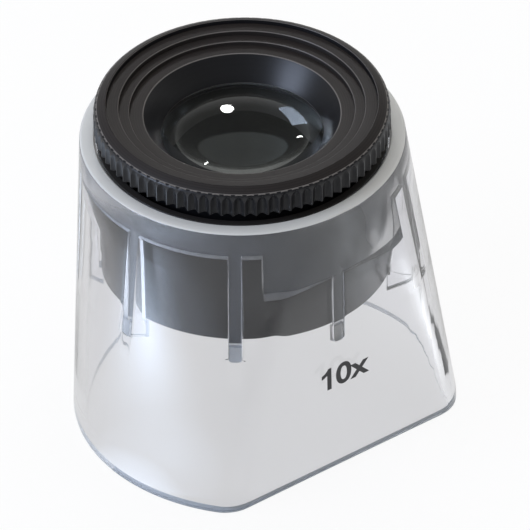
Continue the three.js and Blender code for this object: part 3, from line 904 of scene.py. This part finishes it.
# %% [markdown]
# The land on top of the ring shows turning marks and the knurl does not, so the faces that look up
# get the turned finish. Its two edges get a painted highlight: a smoother finish in a lighter grey.

# %% finish the land and paint highlights on its edges
finish_faces(focus, turned_black, lambda radius, height, normal: height > LAND_EDGE and normal.z > 0.7)


def paint_edge_highlight(piece, corners, reach):
    """Give the faces near the (radius, height) corners the lighter edge finish, a painted highlight."""
    finish_faces(piece, edge_highlight_grey, lambda radius, height, normal: normal.z < 0.98 and any(
        math.dist((radius, height), corner) < reach for corner in corners))


paint_edge_highlight(focus, [(LAND_INNER + 0.02 * MM, LAND_TOP - 0.03 * MM), (LAND_OUTER, LAND_EDGE)], 0.1 * MM)

# %% [markdown]
# ## The rings on top of the head
#
# Inside the land sits a bezel ring with two terraces, and inside that the funnel-shaped eye cone. The
# thin bright lines on such rings come from their broken edges, so every corner gets a small rounding.

# %% turn the bezel
bezel_low, bezel_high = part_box("front_bezel")
BEZEL_INNER = 15.9 * MM
BEZEL_OUTER = LAND_INNER - 0.06 * MM
bezel_step = bezel_high.x - 1.5 * MM
bezel_low_top = bezel_high.z - 0.73 * MM
bezel = turned_piece("turned_bezel_ring", [
    (BEZEL_INNER, bezel_low.z),
    (BEZEL_OUTER, bezel_low.z),
    (BEZEL_OUTER, bezel_high.z),
    (bezel_step, bezel_high.z, 0.13 * MM),
    (bezel_step, bezel_low_top),
    (BEZEL_INNER, bezel_low_top, 0.13 * MM),
])
settle(bezel, "head", "bezel_black", turned_black, "front_bezel")
# The bezel's two main edges get the painted highlight.
paint_edge_highlight(bezel, [(bezel_step, bezel_high.z), (BEZEL_INNER, bezel_low_top)], 0.12 * MM)

# %% turn the eye cone
cone_low, cone_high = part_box("eye_cone")
EYE_OPENING = 11.4 * MM
CONE_BODY = 13.9 * MM
CONE_TOP = 13.95 * MM
CONE_RIM = BEZEL_INNER - 0.04 * MM
CONE_UNDER = 47.30 * MM
cone = turned_piece("eye_cone_funnel", [
    (EYE_OPENING, cone_low.z, 0.1 * MM),
    (CONE_BODY, cone_low.z),
    (CONE_BODY, CONE_UNDER),
    (CONE_RIM, CONE_UNDER),
    (CONE_RIM, cone_high.z),
    (CONE_TOP, cone_high.z, 0.12 * MM),
])
settle(cone, "head", "cone_black", cone_black, "eye_cone")
finish_faces(cone, turned_black, lambda radius, height, normal: normal.z > 0.98)
# The cone's top and bottom edges get the painted highlight.
paint_edge_highlight(cone, [(CONE_TOP, cone_high.z), (EYE_OPENING, cone_low.z)], 0.14 * MM)

# %% [markdown]
# ## The lens tube and what it holds
#
# The tube carries two cemented pairs of lenses with a spacer between them, held from below by a
# slotted ring. The inside is matt black, so that nothing shines into the eye, and the spacer has a
# baffle, a sharp ring that stops light from glancing along its wall.

# %% turn the tube and the spacer
tube_low, tube_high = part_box("lens_tube")
LENS_RADIUS = 12.2 * MM
LENS_BORE = 12.5 * MM
NOSE_RADIUS = 14.1 * MM
TUBE_RADIUS = 15.6 * MM
GUIDE_BOTTOM = COLLAR_TOP - 6.0 * MM
CONE_SEAT = 14.2 * MM
flange_under = FLANGE_SEAT + 0.05 * MM
seat_floor = cone_low.z - 0.3 * MM
tube = turned_piece("lens_tube_barrel", [
    (LENS_BORE, tube_low.z, 0.15 * MM),
    (NOSE_RADIUS, tube_low.z, 0.3 * MM),
    (NOSE_RADIUS, GUIDE_BOTTOM),
    (TUBE_RADIUS, GUIDE_BOTTOM, 0.15 * MM),
    (TUBE_RADIUS, flange_under),
    (tube_high.x, flange_under),
    (tube_high.x, tube_high.z),
    (CONE_SEAT, tube_high.z),
    (CONE_SEAT, seat_floor),
    (LENS_BORE, seat_floor),
])
settle(tube, "head", "head_black", flat_black, "lens_tube")

spacer_low, spacer_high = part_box("lens_spacer")
SPACER_BORE = 11.4 * MM
BAFFLE_BORE = 8.0 * MM
BAFFLE_HALF = 0.6 * MM
middle = (spacer_low.z + spacer_high.z) / 2
spacer = turned_piece("lens_spacer_baffle", [
    (SPACER_BORE, spacer_low.z), (LENS_RADIUS, spacer_low.z), (LENS_RADIUS, spacer_high.z),
    (SPACER_BORE, spacer_high.z), (SPACER_BORE, middle + BAFFLE_HALF),
    (BAFFLE_BORE, middle, 0.1 * MM), (SPACER_BORE, middle - BAFFLE_HALF),
])
settle(spacer, "head", "flat_black", spacer_black, "lens_spacer")


# %% [markdown]
# Each lens pair is cemented, and cement has nearly the index of the glass, so light hardly notices
# the joint. One solid for each pair therefore looks right where two solids with a gap would mirror.
# A polished face is part of a sphere, so we draw it as an arc: its sag is how far the arc falls away
# from its highest point.

# %% turn the two lens pairs
def sag(curve, radius):
    return curve - math.sqrt(curve * curve - radius * radius)


def dome(apex, curve, bulge, steps=14):
    """The bulge is 1 for a face that bulges up and -1 for one that bulges down."""
    return [(LENS_RADIUS * i / steps, apex - bulge * sag(curve, LENS_RADIUS * i / steps))
            for i in range(steps + 1)]


EYE_CURVE = 22 * MM
UNDER_CURVE = 22 * MM
FIELD_CURVE = 40 * MM
eye_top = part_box("eye_lens_crown")[1].z
eye_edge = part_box("eye_lens_flint")[0].z
top_face = dome(eye_top, EYE_CURVE, 1)
under_face = dome(eye_edge - sag(UNDER_CURVE, LENS_RADIUS), UNDER_CURVE, -1)
eye_pair = turned_piece("eye_lens_pair", under_face + top_face[::-1], closed=False, smooth=40)
settle(eye_pair, "head", "crown_glass", crown_glass, "eye_lens_crown", "eye_lens_flint")
# The ground rim gets its painted-light grey.
finish_faces(eye_pair, lens_rim_light_grey, lambda radius, height, normal: (
    radius > LENS_RADIUS - 0.02 * MM and abs(normal.z) < 0.1))

field_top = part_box("field_lens_flint")[1].z
field_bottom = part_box("field_lens_crown")[0].z
bottom_face = dome(field_bottom, FIELD_CURVE, -1)
field_pair = turned_piece("field_lens_pair", bottom_face + [(LENS_RADIUS, field_top), (0, field_top)],
                          closed=False, smooth=40)
settle(field_pair, "head", "crown_glass", crown_glass, "field_lens_flint", "field_lens_crown")

# %% [markdown]
# ## Retaining ring, stop ring and damping ring
#
# These are seen only from below. The retaining ring has two slots for a spanner, which we cut with a
# box and the Boolean modifier, the stop ring has a groove, and a rubber ring sits in that groove.

# %% turn the retaining ring
keep_low, keep_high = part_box("field_retaining_ring")
KEEPER_BORE = 10.9 * MM
keeper = turned_piece("field_retaining_ring_slotted", [
    (KEEPER_BORE, keep_low.z, 0.15 * MM), (LENS_RADIUS, keep_low.z, 0.1 * MM),
    (LENS_RADIUS, keep_high.z), (KEEPER_BORE, keep_high.z, 0.1 * MM),
])
SLOT_WIDTH, SLOT_DEPTH = 1.4 * MM, 0.8 * MM
start_clean()
bpy.ops.mesh.primitive_cube_add(size=1, location=(0, 0, keep_low.z))
cutter = bpy.context.object
bpy.ops.object.mode_set(mode="EDIT")
bpy.ops.transform.resize(value=(30 * MM, SLOT_WIDTH, 2 * SLOT_DEPTH))
bpy.ops.mesh.bevel(offset=0.1 * MM, segments=2)
bpy.ops.object.mode_set(mode="OBJECT")
start_clean(keeper)
cut = keeper.modifiers.new("slots", "BOOLEAN")
cut.object = cutter
cut.operation = "DIFFERENCE"
bpy.ops.object.modifier_apply(modifier=cut.name)
bpy.data.objects.remove(cutter)
settle(keeper, "head", "head_black", knurl_black, "field_retaining_ring")

# %% turn the stop ring and the damping ring
stop_low, stop_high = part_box("stop_ring")
damp_low, damp_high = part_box("damping_ring")
STOP_BORE, DAMPER_BORE = 17.1 * MM, 17.95 * MM
SIDE_PLAY = 0.15 * MM
stop_radius = stop_high.x
groove_floor = stop_radius - 1.0 * MM
groove_low, groove_high = damp_low.z - SIDE_PLAY, damp_high.z + SIDE_PLAY
stop = turned_piece("grooved_stop_ring", [
    (STOP_BORE, stop_low.z), (stop_radius, stop_low.z, 0.15 * MM), (stop_radius, groove_low, 0.05 * MM),
    (groove_floor, groove_low), (groove_floor, groove_high), (stop_radius, groove_high, 0.05 * MM),
    (stop_radius, stop_high.z, 0.15 * MM), (STOP_BORE, stop_high.z),
])
settle(stop, "head", "sleeve_black", sleeve_black, "stop_ring")
damper = turned_piece("rubber_damping_ring", [
    (DAMPER_BORE, damp_low.z, 0.2 * MM), (damp_high.x, damp_low.z, 0.35 * MM),
    (damp_high.x, damp_high.z, 0.35 * MM), (DAMPER_BORE, damp_high.z, 0.2 * MM),
])
settle(damper, "damper", "damping_rubber", rubber_black, "damping_ring")

# %% [markdown]
# ## The magnification
#
# "10x" is printed on the flat front in one pass of dark ink. We write "0x" as text and make it a mesh
# with a hair's thickness.

# %% print the last two characters
PRINT_HALF = 0.01 * MM
start_clean()
bpy.ops.object.text_add(location=(0, 0, 0))
label = bpy.context.object
label.data.body = "0x"
label.data.size = 5.6 * MM
label.data.extrude = PRINT_HALF
label.data.offset = 0.13 * MM
bpy.ops.object.convert(target="MESH")
label.name = label.data.name = "printed_magnification"
digit_low = min(v.co.y for v in label.data.vertices)
digit_high = max(v.co.y for v in label.data.vertices)
digit_left = min(v.co.x for v in label.data.vertices)
digit = digit_high - digit_low
print("digits", round(digit / MM, 2), "mm high")

# %% [markdown]
# The font's figure one is a bare stroke, so we draw one with a flag. Its outline is drawn in shares of
# the digit's height, then filled and thickened. The print is a little lower than the font, so the
# whole of it is squashed before it is stood upright and moved to the flat front. It bites into the
# plastic by a hair, so that it doesn't reach beyond the CAD solids.

# %% draw the figure one
ONE = [(0.0, 0.0), (0.0, 1.0), (-0.14, 1.0), (-0.19, 0.91), (-0.27, 0.83), (-0.41, 0.76),
       (-0.41, 0.59), (-0.29, 0.63), (-0.18, 0.70), (-0.18, 0.0)]
ONE_GAP = 0.19
LABEL_SQUAT = 0.9
LABEL_ACROSS, LABEL_HEIGHT = 0.3 * MM, 16.2 * MM
PRINT_BITE = 0.004 * MM
one_right = digit_left - ONE_GAP * digit
corners = [Vector((one_right + x * digit, digit_low + y * digit, -PRINT_HALF)) for x, y in ONE]
one = drawn_line("printed_one", corners)
select_whole()
bpy.ops.mesh.edge_face_add()
bpy.ops.mesh.extrude_region_move(TRANSFORM_OT_translate={"value": (0, 0, 2 * PRINT_HALF)})
select_whole()
bpy.ops.mesh.normals_make_consistent(inside=False)
bpy.ops.object.mode_set(mode="OBJECT")
join_into(label, [one])
bpy.ops.object.mode_set(mode="EDIT")
select_whole()
bpy.ops.mesh.remove_doubles(threshold=SAME_PLACE)
across = [v.co.x for v in label.data.vertices]
middle_x = (min(across) + max(across)) / 2
bpy.ops.transform.translate(value=(-middle_x, -(digit_low + digit_high) / 2, 0))
bpy.ops.transform.resize(value=(1, LABEL_SQUAT, 1), center_override=(0, 0, 0))
bpy.ops.transform.rotate(value=-math.pi / 2, orient_axis="X", center_override=(0, 0, 0))
bpy.ops.transform.translate(value=(LABEL_ACROSS, stand_low.y + PRINT_BITE, LABEL_HEIGHT))
bpy.ops.object.mode_set(mode="OBJECT")
print("print stands", [round(c / MM, 2) for c in label.dimensions])

# %% ink the number
ink_black, tree, place = new_material("printed_dark_ink")
mottle = add_node(tree, "ShaderNodeTexNoise", {"Scale": 1 / (0.3 * MM), "Detail": 2.0},
                  {"Vector": place})
tone = add_node(tree, "ShaderNodeMapRange", {"To Min": 0.35, "To Max": 0.5}, {"Value": mottle})
ink = add_node(tree, "ShaderNodeBsdfPrincipled", {"Base Color": linear("#303032")},
               {"Roughness": tone})
add_node(tree, "ShaderNodeOutputMaterial", None, {"Surface": ink})
settle(label, "stand", "head_black", ink_black)
low = min((v.co for v in label.data.vertices), key=lambda c: c.y)
print("print reaches", round(low.y / MM, 3), "mm, the flat is at", round(stand_low.y / MM, 3))

# %% [markdown]
# ## Floor, backdrop and light
#
# The object stands on a white sweep and the background burns out to plain white. The floor and the
# world show white to the camera, by the Light Path node, while the lamps and a mild world light the
# object at a plain level. Clear plastic and gloss black show mostly what stands around them, and in a
# studio that is never even. So what reflections see is greyer than white, darker in front, and has
# soft bright patches to the left and right, where windows and light walls would be.

# %% helper: rays that reflect or refract
def mirror_rays(tree):
    """The Light Path node, and a value that is 1 for reflected and refracted rays."""
    rays = add_node(tree, "ShaderNodeLightPath")
    return rays, add_node(tree, "ShaderNodeMath", {"operation": "MAXIMUM"}, {
        0: rays.outputs["Is Glossy Ray"], 1: rays.outputs["Is Transmission Ray"],
    })


# %% floor
FLOOR_SIZE, FLOOR_DROP = 3, 0.02 * MM
start_clean()
bpy.ops.mesh.primitive_plane_add(size=FLOOR_SIZE, location=(0, 0, -FLOOR_DROP))
floor = bpy.context.object
floor.name = "white_sweep"
white_sweep, tree, place = new_material("white_paper_sweep")
paper = add_node(tree, "ShaderNodeBsdfDiffuse", {"Color": linear("#f4f4f4")})
rays, reflected = mirror_rays(tree)
seen = add_node(tree, "ShaderNodeMath", {"operation": "MAXIMUM"},
                {0: rays.outputs["Is Camera Ray"], 1: reflected})
share = add_node(tree, "ShaderNodeMath", {"operation": "MULTIPLY", 1: 0.9}, {0: seen})
back = Vector((view.x, view.y, 0)).normalized()


# %% soft patches on the paper
def paper_patch(middle_right, middle_back, half_right, half_back, amount, kind):
    """A soft-edged patch on the paper, placed in millimetres, as a value that reflections get."""
    lay = add_node(tree, "ShaderNodeMapping", {
        "vector_type": "TEXTURE", "Rotation": (0, 0, -AZIMUTH),
        "Location": level_right * (middle_right * MM) + back * (middle_back * MM),
        "Scale": (half_right * MM, half_back * MM, 1),
    }, {"Vector": place})
    fall = add_node(tree, "ShaderNodeTexGradient", {"gradient_type": kind}, {"Vector": lay})
    level = add_node(tree, "ShaderNodeMath", {"operation": "MULTIPLY", 1: amount},
                     {0: fall.outputs["Fac"]})
    return add_node(tree, "ShaderNodeMath", {"operation": "MULTIPLY"}, {0: level, 1: reflected})


plain = add_node(tree, "ShaderNodeMapRange", {"To Min": 1.0, "To Max": 0.71}, {"Value": reflected})
dim_front = paper_patch(5, -75, 62, 52, 0.66, "SPHERICAL")
level = add_node(tree, "ShaderNodeMath", {"operation": "SUBTRACT"}, {0: plain, 1: dim_front})
glow = add_node(tree, "ShaderNodeEmission", {"Color": (1, 1, 1, 1)}, {"Strength": level})
mixed = add_node(tree, "ShaderNodeMixShader", None, {"Fac": share, 1: paper, 2: glow})
far_left = paper_patch(-62, -38, 48, 42, 6.0, "QUADRATIC_SPHERE")
near_left = paper_patch(-23, -34, 16, 22, 1.5, "SPHERICAL")
left_level = add_node(tree, "ShaderNodeMath", {"operation": "ADD"}, {0: far_left, 1: near_left})
left_patch = add_node(tree, "ShaderNodeEmission", {"Color": linear("#c9dcf5")},
                      {"Strength": left_level})
right_level = paper_patch(64, -6, 40, 36, 2.5, "QUADRATIC_SPHERE")
right_patch = add_node(tree, "ShaderNodeEmission", {"Color": linear("#e6ecf2")},
                       {"Strength": right_level})
patches = add_node(tree, "ShaderNodeAddShader", None, {0: left_patch, 1: right_patch})
whole = add_node(tree, "ShaderNodeAddShader", None, {0: mixed, 1: patches})
add_node(tree, "ShaderNodeOutputMaterial", None, {"Surface": whole})
floor.data.materials.append(white_sweep)
print("floor", floor.name, "with", len(tree.nodes), "shader nodes")

# %% world
world = bpy.data.worlds.new("studio")
bpy.context.scene.world = world
world.use_nodes = True
tree = world.node_tree
tree.nodes.clear()
place = add_node(tree, "ShaderNodeTexCoord")
parts = add_node(tree, "ShaderNodeSeparateXYZ", None, {"Vector": place.outputs["Generated"]})
dome_tone = add_node(tree, "ShaderNodeMapRange", {"From Min": 0.0, "From Max": 0.45,
                                                  "To Min": 0.72, "To Max": 0.12},
                     {"Value": parts.outputs["Z"]})
studio = add_node(tree, "ShaderNodeBackground", {"Color": (1, 1, 1, 1)}, {"Strength": dome_tone})
ambient = add_node(tree, "ShaderNodeBackground", {"Color": (1, 1, 1, 1), "Strength": 0.5})
white = add_node(tree, "ShaderNodeBackground", {"Color": (1, 1, 1, 1), "Strength": 1.0})
rays, reflected = mirror_rays(tree)
first_mix = add_node(tree, "ShaderNodeMixShader", None, {"Fac": reflected, 1: ambient, 2: studio})
last_mix = add_node(tree, "ShaderNodeMixShader", None, {
    "Fac": rays.outputs["Is Camera Ray"], 1: first_mix, 2: white})
add_node(tree, "ShaderNodeOutputWorld", None, {"Surface": last_mix})
print("world", world.name)

# %% [markdown]
# Four lamps light the loupe. A large cool one on the left is the window, and a very large one overhead
# fills the shadows without showing in any glass. Two small ones behind make the lens's bright spots.

# %% lamps
LAMP_AIM = Vector((0, 0, 25 * MM))


def softbox(name, towards, distance, size, power, colour):
    """An area lamp that looks at the middle of the object from a direction."""
    start_clean()
    spot = LAMP_AIM + Vector(towards).normalized() * distance
    bpy.ops.object.light_add(type="AREA", location=spot)
    lamp = bpy.context.object
    lamp.name = name
    lamp.data.shape = "RECTANGLE"
    lamp.data.size, lamp.data.size_y = size
    lamp.data.energy = power
    lamp.data.color = linear(colour)[:3]
    lamp.rotation_euler = (LAMP_AIM - spot).to_track_quat("-Z", "Y").to_euler()
    return lamp


left = -level_right
up = Vector((0, 0, 1))
softbox("left_window", left * 0.81 + up * 0.45 - back * 0.37, 0.55, (0.26, 0.26), 1.6, "#d5e3ff")
top_light = softbox("top_softbox", up + back * 0.2, 0.6, (0.5, 0.5), 1.2, "#ffffff")
top_light.visible_glossy = False
top_light.visible_transmission = False
spark = softbox("back_round_lamp", back * 0.861 + up * 0.496 + left * 0.106, 0.6, (0.055, 0.12), 0.36,
                "#ffffff")
spark.data.shape = "ELLIPSE"
softbox("back_right_strip", level_right * 0.49 + back * 0.586 + up * 0.644, 0.6, (0.012, 0.05), 0.05,
        "#ffffff")

# %% [markdown]
# ## Finish
#
# We leave edit mode with nothing selected. The finished model has to stay inside the box of the CAD
# solids.

# %% finish
start_clean()
